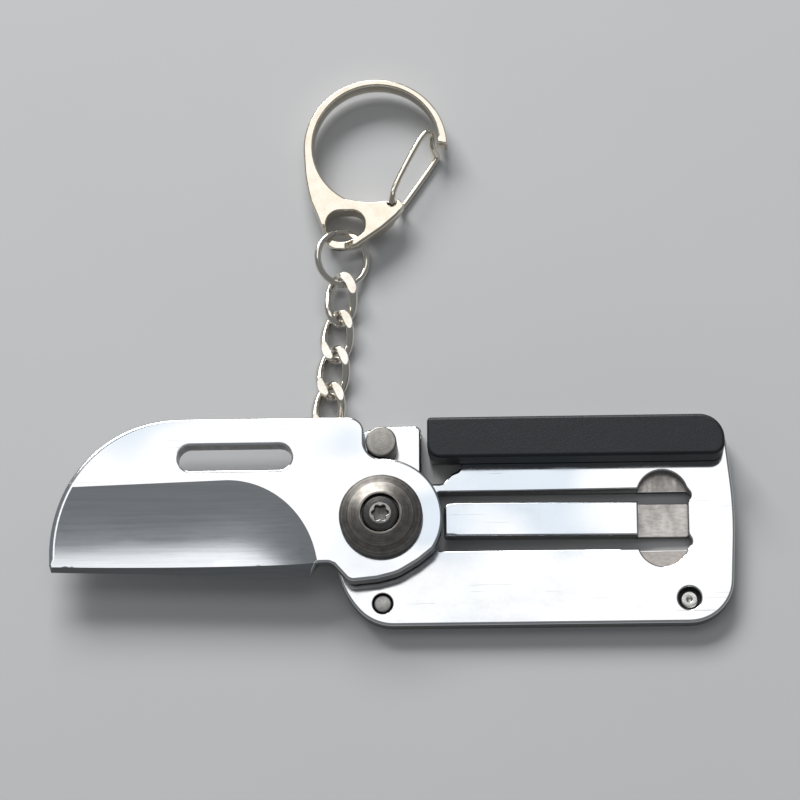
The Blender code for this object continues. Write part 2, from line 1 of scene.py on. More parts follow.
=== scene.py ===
"""Folding pocket knife on a short chain with a spring clasp: its looks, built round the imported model.
Shapes are laid out in millimetres and made in metres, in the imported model's frame:
+X along the handle, +Y towards the chain, +Z out of the front face, origin on the blade's pivot axis."""

import math

import bpy
import numpy as np
from mathutils import Matrix, Vector
from mathutils.geometry import delaunay_2d_cdt


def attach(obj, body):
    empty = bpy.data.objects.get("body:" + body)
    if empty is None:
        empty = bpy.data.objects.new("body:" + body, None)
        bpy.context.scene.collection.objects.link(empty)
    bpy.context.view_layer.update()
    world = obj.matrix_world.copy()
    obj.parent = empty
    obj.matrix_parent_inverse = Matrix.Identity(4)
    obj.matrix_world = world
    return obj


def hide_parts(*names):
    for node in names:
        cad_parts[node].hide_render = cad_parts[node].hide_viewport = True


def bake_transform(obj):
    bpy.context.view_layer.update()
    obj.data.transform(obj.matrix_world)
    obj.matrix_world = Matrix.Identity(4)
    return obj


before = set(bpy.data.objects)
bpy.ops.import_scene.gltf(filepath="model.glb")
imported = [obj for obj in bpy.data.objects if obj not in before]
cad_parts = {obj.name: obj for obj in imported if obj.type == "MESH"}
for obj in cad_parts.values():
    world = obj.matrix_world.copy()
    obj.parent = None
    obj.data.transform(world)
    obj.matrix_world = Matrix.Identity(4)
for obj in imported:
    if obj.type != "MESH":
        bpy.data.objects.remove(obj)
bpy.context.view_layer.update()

MM = 0.001
FINE = 12                       # points on each filleted corner
EDGE_STEPS = 5                  # strips across each rounded edge
END_ROUND = 0.12                # how far a cut wire end bulges, in millimetres


# ---- outlines ----

def arc(cx, cy, radius, start_deg, end_deg, steps=16):
    angles = np.radians(np.linspace(start_deg, end_deg, steps + 1))
    return [(cx + radius * math.cos(a), cy + radius * math.sin(a)) for a in angles]


def circle(x, y, radius, steps=64):
    return arc(x, y, radius, 0, 360, steps)[:-1]


def fillet(corners, steps=FINE):
    """A closed outline with some corners rounded: each corner is (x, y) or (x, y, radius)."""
    points = []
    for n, corner in enumerate(corners):
        here = Vector(corner[:2])
        radius = corner[2] if len(corner) > 2 else 0.0
        if radius == 0.0:
            points.append(tuple(here))
            continue
        before = (Vector(corners[n - 1][:2]) - here).normalized()
        after = (Vector(corners[(n + 1) % len(corners)][:2]) - here).normalized()
        half = before.angle(after) / 2
        centre = here + (before + after).normalized() * radius / math.sin(half)
        first = here + before * radius / math.tan(half) - centre
        last = here + after * radius / math.tan(half) - centre
        turn = first.angle_signed(last)
        for k in range(steps + 1):
            points.append(tuple(centre + Matrix.Rotation(-turn * k / steps, 2) @ first))
    return points


def dense(points, step, closed=True):
    """The same line with more points on it."""
    points = [np.array(p[:2], float) for p in points]
    ends = points[1:] + points[:1] if closed else points[1:]
    out = []
    for a, b in zip(points, ends):
        count = max(1, int(np.linalg.norm(b - a) / step))
        out += [tuple(a + (b - a) * k / count) for k in range(count)]
    return out if closed else out + [tuple(points[-1])]


def inside(x, y, loop):
    """Even-odd test of arrays of points against one closed loop."""
    loop = np.asarray(loop)
    hit = np.zeros(len(x), bool)
    for (x0, y0), (x1, y1) in zip(loop, np.roll(loop, -1, axis=0)):
        if y0 == y1:
            continue
        crosses = (y0 > y) != (y1 > y)
        hit ^= crosses & (x < (x1 - x0) * (y - y0) / (y1 - y0) + x0)
    return hit


def ccw(loop):
    p = np.asarray([q[:2] for q in loop], float)
    area = np.sum(p[:, 0] * np.roll(p[:, 1], -1) - np.roll(p[:, 0], -1) * p[:, 1])
    return p if area > 0 else p[::-1]


def outward(loop):
    """Unit normals that point out of the metal, stretched at corners so that an offset keeps its width."""
    ahead = np.roll(loop, -1, axis=0) - loop
    ahead /= np.maximum(np.linalg.norm(ahead, axis=1), 1e-9)[:, None]
    out = np.c_[ahead[:, 1], -ahead[:, 0]]
    back = np.roll(out, 1, axis=0)
    return (out + back) / np.maximum(1.0 + np.sum(out * back, axis=1), 0.3)[:, None]


# ---- meshes ----

def make_object(name, verts, faces, normals=None, material=None):
    mesh = bpy.data.meshes.new(name)
    mesh.from_pydata([tuple(v) for v in np.asarray(verts, float) * MM], [], [tuple(f) for f in faces])
    mesh.polygons.foreach_set("use_smooth", [True] * len(mesh.polygons))
    if normals is not None:
        mesh.normals_split_custom_set([tuple(n) for n in normals])
    obj = bpy.data.objects.new(name, mesh)
    bpy.context.scene.collection.objects.link(obj)
    if material:
        mesh.materials.append(material)
    return obj


def slope_normals(height, x, y, step=0.002):
    gx = (height(x + step, y) - height(x - step, y)) / (2 * step)
    gy = (height(x, y + step) - height(x, y - step)) / (2 * step)
    n = np.c_[-gx, -gy, np.ones(len(x))]
    return n / np.linalg.norm(n, axis=1)[:, None]


class Solid:
    """Collects a plate's walls, rounded edges and faces, each corner with its exact normal."""

    def __init__(self):
        self.verts, self.faces, self.normals = [], [], []

    def add(self, points, faces, normals):
        base = len(self.verts)
        self.verts += [tuple(p) for p in points]
        for face in faces:
            self.faces.append([base + i for i in face])
            self.normals += [normals[i] for i in face]

    def strip(self, ring_a, ring_b, normals_a, normals_b):
        """Quads between two closed rings, ring_b above ring_a with the metal on the left."""
        n = len(ring_a)
        faces = [(i, (i + 1) % n, n + (i + 1) % n, n + i) for i in range(n)]
        self.add(np.r_[ring_a, ring_b], faces, np.r_[normals_a, normals_b])

    def face(self, loops, height, up, lines=(), points=()):
        """One face of the plate: a triangulation inside the loops, lifted to its height."""
        flat, edges = [], []
        for loop, closed in [(l, True) for l in loops] + [(l, False) for l in lines]:
            base, n = len(flat), len(loop)
            flat += [Vector(p) for p in np.asarray(loop, float)]
            edges += [(base + i, base + (i + 1) % n) for i in range(n if closed else n - 1)]
        flat += [Vector(p) for p in points]
        verts, _, tris, *_ = delaunay_2d_cdt(flat, edges, [], 0, 1e-5)
        verts = np.array([tuple(v) for v in verts])
        tris = np.array(tris)
        mid = verts[tris].mean(axis=1)
        keep = np.zeros(len(tris), bool)
        for loop in loops:
            keep ^= inside(mid[:, 0], mid[:, 1], loop)
        tris, mid = tris[keep], mid[keep]
        z = height(verts[:, 0], verts[:, 1])
        solid = np.c_[verts, z]
        corners = solid[tris]
        pull = corners[:, :, :2] + (mid[:, None, :] - corners[:, :, :2]) * 0.02
        shade = slope_normals(height, pull[:, :, 0].ravel(), pull[:, :, 1].ravel()).reshape(-1, 3, 3)
        true = np.cross(corners[:, 1] - corners[:, 0], corners[:, 2] - corners[:, 0])
        true /= np.maximum(np.linalg.norm(true, axis=1), 1e-12)[:, None]
        steep = np.abs(true[:, 2]) < 0.75
        shade[steep] = (true * np.sign(true[:, 2:3] + 1e-9))[steep][:, None, :]
        base = len(self.verts)
        self.verts += [tuple(p) for p in solid]
        for tri, normal in zip(tris, shade):
            a, b, c = verts[tri]
            turned = (b[0] - a[0]) * (c[1] - a[1]) - (b[1] - a[1]) * (c[0] - a[0]) < 0
            order = [0, 2, 1] if turned == up else [0, 1, 2]
            self.faces.append([base + int(tri[i]) for i in order])
            self.normals += [tuple(normal[i] if up else -normal[i]) for i in order]

    def edge(self, loop, width, depth, height, up):
        """A rounded edge from the wall to the face. Returns the face's loop and the wall's heights."""
        n2 = outward(loop)
        unit = n2 / np.linalg.norm(n2, axis=1)[:, None]
        inner = loop - n2 * width[:, None]
        top = height(inner[:, 0], inner[:, 1])
        sign = 1.0 if up else -1.0
        rings, shades = [], []
        for k in range(EDGE_STEPS + 1):
            t = math.radians(90 * k / EDGE_STEPS)
            ring = loop - n2 * (width * (1 - math.cos(t)))[:, None]
            rings.append(np.c_[ring, top - sign * depth * (1 - math.sin(t))])
            lean = depth * math.cos(t)
            rise = width * math.sin(t)
            size = np.maximum(np.hypot(lean, rise), 1e-9)
            shades.append(np.c_[unit * (lean / size)[:, None], sign * rise / size])
        for a, b, na, nb in zip(rings[:-1], rings[1:], shades[:-1], shades[1:]):
            if up:
                self.strip(a, b, na, nb)
            else:
                self.strip(b, a, nb, na)
        return inner, rings[0][:, 2]

    def plate(self, loops, tops, lows, top_edges, low_edges,
              top_lines=(), top_points=(), low_lines=(), low_points=()):
        """A whole plate: loops[0] is its outside and the rest are holes.
        Each loop has an edge, (width, depth), and the last edge given serves the loops that are left."""
        loops = [ccw(loops[0])] + [ccw(l)[::-1] for l in loops[1:]]
        faces = {}
        walls = {}
        for up, height, edges in ((True, tops, top_edges), (False, lows, low_edges)):
            faces[up], walls[up] = [], []
            for n, loop in enumerate(loops):
                width, depth = edges[n] if n < len(edges) else edges[-1]
                width = width(loop) if callable(width) else np.full(len(loop), width)
                depth = depth(loop) if callable(depth) else np.full(len(loop), depth)
                inner, wall = self.edge(loop, width, depth, height, up)
                faces[up].append(inner)
                walls[up].append(wall)
        for n, loop in enumerate(loops):
            unit = outward(loop)
            unit = np.c_[unit / np.linalg.norm(unit, axis=1)[:, None], np.zeros(len(loop))]
            self.strip(np.c_[loop, walls[False][n]], np.c_[loop, walls[True][n]], unit, unit)
        self.face(faces[True], tops, True, top_lines, top_points)
        self.face(faces[False], lows, False, low_lines, low_points)
        return self

    def make(self, name, material, walls=None):
        obj = make_object(name, self.verts, self.faces, self.normals, material)
        if walls:
            obj.data.materials.append(walls)
            for face in obj.data.polygons:
                if abs(face.normal.z) < 0.2:
                    face.material_index = 1
        return obj


def level(z):
    return lambda x, y: np.full(np.shape(x), float(z))


def sweep(points, radius, closed, sides=24):
    """A round wire along points: returns its rings as an array (rings, sides, 3)."""
    p = np.asarray(points, float)
    ahead = np.roll(p, -1, axis=0) - np.roll(p, 1, axis=0)
    if not closed:
        ahead[0], ahead[-1] = p[1] - p[0], p[-1] - p[-2]
    ahead /= np.linalg.norm(ahead, axis=1)[:, None]
    side = np.cross(ahead[0], (0.3, 0.2, 1.0))
    side /= np.linalg.norm(side)
    frames = []
    for t in ahead:
        side = side - t * np.dot(side, t)
        side /= np.linalg.norm(side)
        frames.append((side, np.cross(t, side)))
    twist = 0.0
    if closed:
        last = frames[-1][0] - ahead[0] * np.dot(frames[-1][0], ahead[0])
        twist = math.atan2(np.dot(last, frames[0][1]), np.dot(last, frames[0][0]))
    rings = []
    for n, (q, (u, v)) in enumerate(zip(p, frames)):
        a = np.linspace(0, 2 * math.pi, sides, endpoint=False) - twist * n / len(p)
        rings.append(q + radius * (np.cos(a)[:, None] * u + np.sin(a)[:, None] * v))
    if not closed:
        for at, end, way in ((0, 0, -1.0), (len(rings) - 1, len(rings), 1.0)):
            centre, tip = p[0 if at == 0 else -1], ahead[0 if at == 0 else -1] * way
            ring = rings[0] if at == 0 else rings[-1]
            extra = []
            for s in (0.35, 0.7, 1.0):
                shrink = 1 - s * END_ROUND / radius * 1.2
                extra.append(centre + (ring - centre) * shrink + tip * END_ROUND * math.sin(s * 1.5))
            extra.append(centre + (ring - centre) * 0.02 + tip * END_ROUND)
            rings = extra[::-1] + rings if at == 0 else rings + extra
    return np.array(rings)


def wire_object(name, rings, closed, material, flats=None):
    """Skins the rings of a sweep. flats = (low, high) grinds the wire flat beyond those heights."""
    count, sides = rings.shape[:2]
    verts = rings.reshape(-1, 3).copy()
    if flats:
        verts[:, 2] = np.clip(verts[:, 2], *flats)
    faces = []
    for i in range(count if closed else count - 1):
        j = (i + 1) % count
        faces += [(i * sides + k, i * sides + (k + 1) % sides, j * sides + (k + 1) % sides, j * sides + k)
                  for k in range(sides)]
    obj = make_object(name, verts, faces, None, material)
    obj.data.set_sharp_from_angle(angle=math.radians(28))
    return obj


def lathe(name, profile, material, at=(0.0, 0.0), segments=96, sharp=32):
    """Turns a closed outline of (radius, z) about a line along Z."""
    profile = [p[:2] for p in profile]
    verts, faces = [], []
    n = len(profile)
    for k in range(segments):
        a = 2 * math.pi * k / segments
        verts += [(at[0] + r * math.cos(a), at[1] + r * math.sin(a), z) for r, z in profile]
    for k in range(segments):
        m = (k + 1) % segments
        for i in range(n):
            j = (i + 1) % n
            if max(profile[i][0], profile[j][0]) > 1e-6:
                faces.append((k * n + i, m * n + i, m * n + j, k * n + j))
    obj = make_object(name, verts, faces, None, material)
    obj.data.validate()
    obj.data.set_sharp_from_angle(angle=math.radians(sharp))
    return obj


# ---- materials ----

class Paint:
    """A material's node graph around one Principled shader."""

    def __init__(self, name, colour, metallic, roughness, **sockets):
        self.material = bpy.data.materials.new(name)
        self.material.use_nodes = True
        self.tree = self.material.node_tree
        self.shader = self.tree.nodes["Principled BSDF"]
        self.shader.inputs["Base Color"].default_value = (*colour, 1.0)
        self.shader.inputs["Metallic"].default_value = metallic
        self.shader.inputs["Roughness"].default_value = roughness
        for key, value in sockets.items():
            self.shader.inputs[key.replace("_", " ")].default_value = value
        self.place = self.tree.nodes.new("ShaderNodeTexCoord").outputs["Object"]
        self.normal = None

    def node(self, kind, **values):
        made = self.tree.nodes.new(kind)
        for key, value in values.items():
            setattr(made, key, value)
        return made

    def link(self, a, b):
        self.tree.links.new(a, b)

    def noise(self, per_mm, stretch=(1, 1, 1), detail=4.0, rough=0.55,
              turn=(0, 0, 0), offset=(0, 0, 0), source=None):
        spot = self.node("ShaderNodeMapping")
        spot.inputs["Scale"].default_value = stretch
        spot.inputs["Rotation"].default_value = [math.radians(a) for a in turn]
        spot.inputs["Location"].default_value = offset
        self.link(source or self.place, spot.inputs["Vector"])
        made = self.node("ShaderNodeTexNoise")
        made.inputs["Scale"].default_value = per_mm * 1000
        made.inputs["Detail"].default_value = detail
        made.inputs["Roughness"].default_value = rough
        self.link(spot.outputs["Vector"], made.inputs["Vector"])
        return made.outputs["Fac"]

    def ramp(self, value, low, high, low_out=0.0, high_out=1.0):
        made = self.node("ShaderNodeMapRange", interpolation_type="SMOOTHSTEP")
        for key, number in (("From Min", low), ("From Max", high), ("To Min", low_out), ("To Max", high_out)):
            made.inputs[key].default_value = number
        self.link(value, made.inputs["Value"])
        return made.outputs["Result"]

    def math(self, operation, a, b=None):
        made = self.node("ShaderNodeMath", operation=operation)
        for socket, value in zip(made.inputs, (a, b)):
            if isinstance(value, (int, float)):
                socket.default_value = value
            elif value is not None:
                self.link(value, socket)
        return made.outputs[0]

    def mix(self, factor, first, second):
        made = self.node("ShaderNodeMix", data_type="RGBA")
        self.link(factor, made.inputs[0])
        for socket, value in ((made.inputs[6], first), (made.inputs[7], second)):
            if isinstance(value, tuple):
                socket.default_value = (*value, 1.0)
            else:
                self.link(value, socket)
        return made.outputs[2]

    def colour(self, value):
        self.link(value, self.shader.inputs["Base Color"])

    def roughness(self, value):
        self.link(value, self.shader.inputs["Roughness"])

    def bump(self, value, depth_mm):
        made = self.node("ShaderNodeBump")
        made.inputs["Strength"].default_value = 1.0
        made.inputs["Distance"].default_value = depth_mm * MM
        self.link(value, made.inputs["Height"])
        if self.normal:
            self.link(self.normal, made.inputs["Normal"])
        self.normal = made.outputs["Normal"]
        self.link(self.normal, self.shader.inputs["Normal"])


def scratches(paint, per_mm, turn, seed):
    """Thin broken lines at one slant, 0 on clean metal and 1 in a scratch."""
    lines = paint.noise(per_mm, (0.012, 1.0, 0.2), 2.0, 0.5, (0, 0, turn), (seed, seed * 0.7, 0))
    thin = paint.ramp(lines, 0.69, 0.74)
    broken = paint.ramp(paint.noise(0.12, (1, 1, 1), 2.0, 0.5, (0, 0, 0), (seed * 0.3, seed, 0)), 0.5, 0.62)
    return paint.math("MULTIPLY", thin, broken)


SCRATCH_DEPTH, POLISH_WAVE = 0.0016, 0.0035   # millimetres


def polished(name, colour, low, high):
    """Mirror-polished steel after some use: smudges, hairline scratches, a slightly uneven surface and cool
    patches that are painted reflection.
    """
    paint = Paint(name, colour, 1.0, low)
    smudge = paint.noise(0.11, (1, 1.5, 1), 5.0, 0.62, (0, 0, 25))
    fine = paint.noise(2.2, (1, 1, 1), 3.0, 0.6)
    rough = paint.ramp(smudge, 0.38, 0.68, low, high)
    rough = paint.math("ADD", rough, paint.ramp(fine, 0.3, 0.7, -0.012, 0.012))
    marks = paint.math("MAXIMUM", scratches(paint, 3.4, 17, 3.1), scratches(paint, 2.9, -38, 9.7))
    marks = paint.math("MAXIMUM", marks, scratches(paint, 3.1, 84, 5.3))
    paint.roughness(paint.math("ADD", rough, paint.math("MULTIPLY", marks, 0.16)))
    # Painted reflection: broad cool-blue patches laid into the colour at random, standing in for bluish
    # reflections on the mirror face.
    reflection_patches = paint.ramp(paint.noise(0.045, (1, 1.3, 1), 1.5, 0.45, (0, 0, 30), (0.02, 0.05, 0)), 0.46, 0.62)
    cool_reflection = tuple(c * f for c, f in zip(colour, (0.74, 0.80, 0.86)))
    paint.colour(paint.mix(reflection_patches, colour, cool_reflection))
    paint.bump(paint.noise(0.05, (1, 1, 1), 2.0, 0.5), POLISH_WAVE * 12)
    paint.bump(paint.noise(0.9, (0.35, 1, 1), 4.0, 0.6, (0, 0, 8)), POLISH_WAVE * 0.35)
    paint.bump(marks, -SCRATCH_DEPTH)
    return paint.material


def brushed(name, colour, roughness, along=(0.03, 1.0, 1.0), per_mm=6.0, depth=0.004,
            turn=0, spread=0.08, dark=0.75):
    """Ground steel with fine parallel marks."""
    paint = Paint(name, colour, 1.0, roughness)
    grain = paint.noise(per_mm, along, 5.0, 0.65, (0, 0, turn))
    broad = paint.noise(0.25, (along[0] * 8, 1, 1), 4.0, 0.6, (0, 0, turn))
    paint.roughness(paint.ramp(broad, 0.3, 0.7, roughness - spread, roughness + spread))
    paint.colour(paint.mix(paint.ramp(grain, 0.3, 0.62), tuple(c * dark for c in colour), colour))
    paint.bump(grain, depth)
    return paint.material


def turned_steel(name, colour, roughness, rings_per_mm, at=(0.0, 0.0), depth=0.006, dark=0.6):
    """Lathe-turned metal: rings about an axis along Z at one place."""
    paint = Paint(name, colour, 1.0, roughness)
    shift = paint.node("ShaderNodeVectorMath", operation="SUBTRACT")
    shift.inputs[1].default_value = (at[0] * MM, at[1] * MM, 0.0)
    paint.link(paint.place, shift.inputs[0])
    flat = paint.node("ShaderNodeVectorMath", operation="MULTIPLY")
    flat.inputs[1].default_value = (1.0, 1.0, 0.0)
    paint.link(shift.outputs[0], flat.inputs[0])
    far = paint.node("ShaderNodeVectorMath", operation="LENGTH")
    paint.link(flat.outputs[0], far.inputs[0])
    radial = paint.node("ShaderNodeCombineXYZ")
    paint.link(far.outputs["Value"], radial.inputs[0])
    rings = paint.noise(rings_per_mm, (1, 1, 1), 3.0, 0.7, source=radial.outputs[0])
    arcs = paint.noise(1.1, (1, 1, 1), 2.0, 0.5)
    grain = paint.math("MULTIPLY", rings, paint.ramp(arcs, 0.2, 0.8, 0.75, 1.0))
    paint.colour(paint.mix(paint.ramp(grain, 0.3, 0.62), tuple(c * dark for c in colour), colour))
    paint.roughness(paint.ramp(rings, 0.3, 0.7, roughness - 0.07, roughness + 0.07))
    paint.bump(rings, depth)
    return paint.material


def coated(name, colour, roughness):
    """Fine-grained black coating, rubbed a little paler on its high spots."""
    paint = Paint(name, colour, 0.0, roughness, Specular_IOR_Level=0.4)
    grain = paint.noise(9.0, (1, 1, 1), 3.0, 0.7)
    worn = paint.ramp(paint.noise(0.35, (1, 1, 1), 5.0, 0.7), 0.5, 0.75)
    paint.colour(paint.mix(worn, colour, tuple(c * 1.35 for c in colour)))
    paint.roughness(paint.ramp(grain, 0.3, 0.7, roughness - 0.06, roughness + 0.06))
    paint.bump(grain, 0.022)
    paint.bump(paint.noise(3.2, (1, 1, 1), 3.0, 0.6), 0.03)
    return paint.material


def plated(name, colour, low, high):
    """Warm nickel plate over a casting or wire: soft unevenness, small pits and rubbed patches."""
    paint = Paint(name, colour, 1.0, low)
    cloud = paint.noise(0.45, (1, 1, 1), 4.0, 0.6)
    pits = paint.ramp(paint.noise(4.2, (1, 1, 1), 2.0, 0.5), 0.70, 0.76)
    rough = paint.ramp(cloud, 0.35, 0.65, low, high)
    paint.roughness(paint.math("ADD", rough, paint.math("MULTIPLY", pits, 0.15)))
    warm = tuple(c * f for c, f in zip(colour, (0.97, 0.94, 0.88)))
    paint.colour(paint.mix(paint.ramp(cloud, 0.4, 0.7), colour, warm))
    paint.bump(cloud, 0.012)
    paint.bump(pits, -0.004)
    return paint.material


STEEL = (0.74, 0.745, 0.755)
# Wall steel: a rougher sheared finish, with its colour darkened far below the face steel as painted shade for
# the dark surroundings the walls reflect and the shade inside the slits.
SHADED_CUT_EDGE = brushed("sheared_edge_steel_painted_shade", (0.33, 0.32, 0.31), 0.36, (1.0, 1.0, 0.15), 3.0, 0.003, 0, 0.06, 0.9)
MIRROR = polished("mirror_polished_steel", STEEL, 0.085, 0.17)
BAR_STEEL = polished("polished_bar_steel", STEEL, 0.10, 0.19)
NECK = brushed("ground_neck_steel", (0.60, 0.57, 0.54), 0.36, (0.4, 1.0, 1.0), 2.6, 0.008, 35)
POCKET = brushed("milled_pocket_floor", (0.56, 0.52, 0.49), 0.42, (0.5, 1.0, 1.0), 2.4, 0.010, 60)
LENGTHWISE = (0.02, 1.0, 1.0)
GRIND = brushed("satin_hollow_grind", (0.73, 0.75, 0.775), 0.115, LENGTHWISE, 2.5, 0.0006, 1, 0.025, 0.92)
# Cutting facet steel: a satin finish, with its colour darkened well below the grind as painted shade for the
# dark band the facet shows.
SHADED_FACET = brushed("satin_cutting_facet_painted_shade", (0.30, 0.31, 0.32), 0.30, LENGTHWISE, 5.0, 0.001, 1, 0.04, 0.8)
COLLAR = turned_steel("turned_grey_steel", (0.33, 0.31, 0.285), 0.42, 4.0, (0.0, 0.0), 0.014, 0.45)
STOP_STEEL = turned_steel("turned_stop_pin", (0.42, 0.40, 0.37), 0.36, 5.0, (0.0, 11.4))
BARREL_STEEL = turned_steel("turned_barrel", (0.55, 0.55, 0.55), 0.28, 5.0)
FRONT_PIN_STEEL = brushed("front_pin_steel", (0.42, 0.41, 0.40), 0.30, (0.3, 1.0, 1.0), 5.0, 0.004, 35)
PIN_STEEL = brushed("small_pin_steel", (0.72, 0.71, 0.69), 0.26, (0.3, 1.0, 1.0), 5.0, 0.004, 35)
SCREW_BLACK = coated("black_oxide_screw", (0.055, 0.053, 0.053), 0.36)
SCREW_BLACK.node_tree.nodes["Principled BSDF"].inputs["Metallic"].default_value = 0.6
GUARD_BLACK = coated("bead_blasted_black", (0.011, 0.014, 0.018), 0.40)
WORN_RIM = brushed("worn_socket_rim", (0.34, 0.33, 0.32), 0.30, (1.0, 1.0, 1.0), 5.0, 0.006)
SOCKET = brushed("screw_socket_floor", (0.16, 0.155, 0.15), 0.40, (1.0, 1.0, 1.0), 5.0, 0.006)
NICKEL = plated("nickel_plated_casting", (0.73, 0.68, 0.59), 0.10, 0.19)
CHAIN_NICKEL = plated("nickel_plated_wire", (0.74, 0.71, 0.655), 0.13, 0.24)
BRONZE = brushed("bronze_washer", (0.62, 0.43, 0.24), 0.35, (1, 1, 1), 4.0, 0.006)


# ---- handle plate ----

PLATE_T, FLOOR_Z = 3.0, 1.2
BAR_Y, SLIT_Y, NECK_X = (-2.1, 2.9), (-4.1, 4.7), 41.5
POCKET_X, POCKET_R, POCKET_Y = 40.8, 3.65, (-3.1, 3.9)     # the pocket's two end circles
EARS = ((44.0, -3.1, 1.0), (44.1, 3.8, 0.9))               # round ends of the two slits
STOP, FRONT_PIN, REAR_PIN = (0.0, 11.4), (0.0, -11.8), (44.4, -11.5)
GUARD_SCREWS = ((13.0, 12.3), (43.5, 12.3))


def plate_outline():
    left = [(-6.4, -7.5), (-5.4, -10.6, 12.0), (-1.6, -15.1, 7.0)]
    right = [(50.6, -15.1, 6.5), (51.4, 1.5, 60.0), (50.0, 15.05, 4.0)]
    notch = [(6.9, 15.05), (6.9, 9.45, 0.5), (11.5, 9.45, 0.3), (11.2, 7.95, 0.8), (9.95, 7.4, 1.2),
             (8.85, 6.0, 1.2), (5.7, 6.0, 1.2)]
    tab = [(5.7, 14.8, 0.9), (-0.6, 14.8, 2.0), (-3.6, 13.6, 2.0)]
    step = [(-6.0, 12.9), (-6.0, 8.0, 1.0), (-11.4, 8.0), (-9.4, 2.0, 6.0)]
    return dense(fillet(left + right + notch + tab + step), 2.0)


def smooth(points, steps):
    """A Catmull-Rom curve through the points, with its speed set by their spacing."""
    p = np.array([points[0]] + list(points) + [points[-1]], float)
    p[0] += (p[1] - p[2]) * 0.5
    p[-1] += (p[-2] - p[-3]) * 0.5
    out = []
    for n in range(1, len(p) - 2):
        gaps = [max(np.linalg.norm(p[n + k] - p[n + k - 1]), 1e-6) ** 0.5 for k in (0, 1, 2)]
        t0, t1 = 0.0, gaps[0]
        t2 = t1 + gaps[1]
        t3 = t2 + gaps[2]
        for t in np.linspace(t1, t2, steps, endpoint=False):
            a1 = (t1 - t) / (t1 - t0) * p[n - 1] + (t - t0) / (t1 - t0) * p[n]
            a2 = (t2 - t) / (t2 - t1) * p[n] + (t - t1) / (t2 - t1) * p[n + 1]
            a3 = (t3 - t) / (t3 - t2) * p[n + 1] + (t - t2) / (t3 - t2) * p[n + 2]
            b1 = (t2 - t) / (t2 - t0) * a1 + (t - t0) / (t2 - t0) * a2
            b2 = (t3 - t) / (t3 - t1) * a2 + (t - t1) / (t3 - t1) * a3
            out.append((t2 - t) / (t2 - t1) * b1 + (t - t1) / (t2 - t1) * b2)
    return out + [p[-2]]


def angle_at(centre, point):
    return math.degrees(math.atan2(point[1] - centre[1], point[0] - centre[0]))


EAR_MEETS_POCKET = (44.325, 44.37)   # x where each slit's end arc crosses the pocket's arc
SLIT_LEFT, BAR_TIP_X = 7.7, 8.95


def slit_ends(pocket):
    """The opening's right-hand side, from the lower slit to the upper one, with or without the pocket."""
    (lx, ly, lr), (ux, uy, ur) = EARS
    wall = POCKET_X + POCKET_R
    low_wall = (wall, ly + math.sqrt(lr ** 2 - (wall - lx) ** 2))
    high_wall = (wall, uy - math.sqrt(ur ** 2 - (wall - ux) ** 2))
    if not pocket:
        return (arc(lx, ly, lr, -90, angle_at((lx, ly), low_wall), 16)
                + arc(ux, uy, ur, angle_at((ux, uy), high_wall), 90, 16))
    low, high = (POCKET_X, POCKET_Y[0]), (POCKET_X, POCKET_Y[1])
    in_low = (low[0] - math.sqrt(POCKET_R ** 2 - (SLIT_Y[0] - low[1]) ** 2), SLIT_Y[0])
    in_high = (high[0] - math.sqrt(POCKET_R ** 2 - (SLIT_Y[1] - high[1]) ** 2), SLIT_Y[1])
    x_low, x_high = EAR_MEETS_POCKET
    meet_low = (x_low, ly - math.sqrt(lr ** 2 - (x_low - lx) ** 2))
    meet_high = (x_high, uy + math.sqrt(ur ** 2 - (x_high - ux) ** 2))
    return (arc(*low, POCKET_R, angle_at(low, in_low), angle_at(low, meet_low), 28)
            + arc(lx, ly, lr, angle_at((lx, ly), meet_low), angle_at((lx, ly), low_wall), 12)[1:]
            + arc(ux, uy, ur, angle_at((ux, uy), high_wall), angle_at((ux, uy), meet_high), 12)
            + arc(*high, POCKET_R, angle_at(high, meet_high), angle_at(high, in_high), 28)[1:])


SOFTEN_STEP, SOFTEN_REACH = 0.12, 4      # millimetres between points, and points averaged to each side


def softened(line):
    """The same open line with its kinks averaged out over a short distance."""
    p = np.array([q[:2] for q in line], float)
    along = np.r_[0.0, np.cumsum(np.linalg.norm(np.diff(p, axis=0), axis=1))]
    even = np.linspace(0.0, along[-1], int(along[-1] / SOFTEN_STEP))
    p = np.c_[np.interp(even, along, p[:, 0]), np.interp(even, along, p[:, 1])]
    q = p.copy()
    for n in range(1, len(p) - 1):
        k = min(SOFTEN_REACH, n, len(p) - 1 - n)
        q[n] = p[n - k:n + k + 1].mean(axis=0)
    return [tuple(v) for v in q[::2]]


def opening(pocket):
    left = fillet([(20.0, SLIT_Y[1]), (SLIT_LEFT, SLIT_Y[1], 0.8), (SLIT_LEFT, SLIT_Y[0], 0.8),
                   (20.0, SLIT_Y[0])])
    return dense(left + softened(slit_ends(pocket)), 2.5)


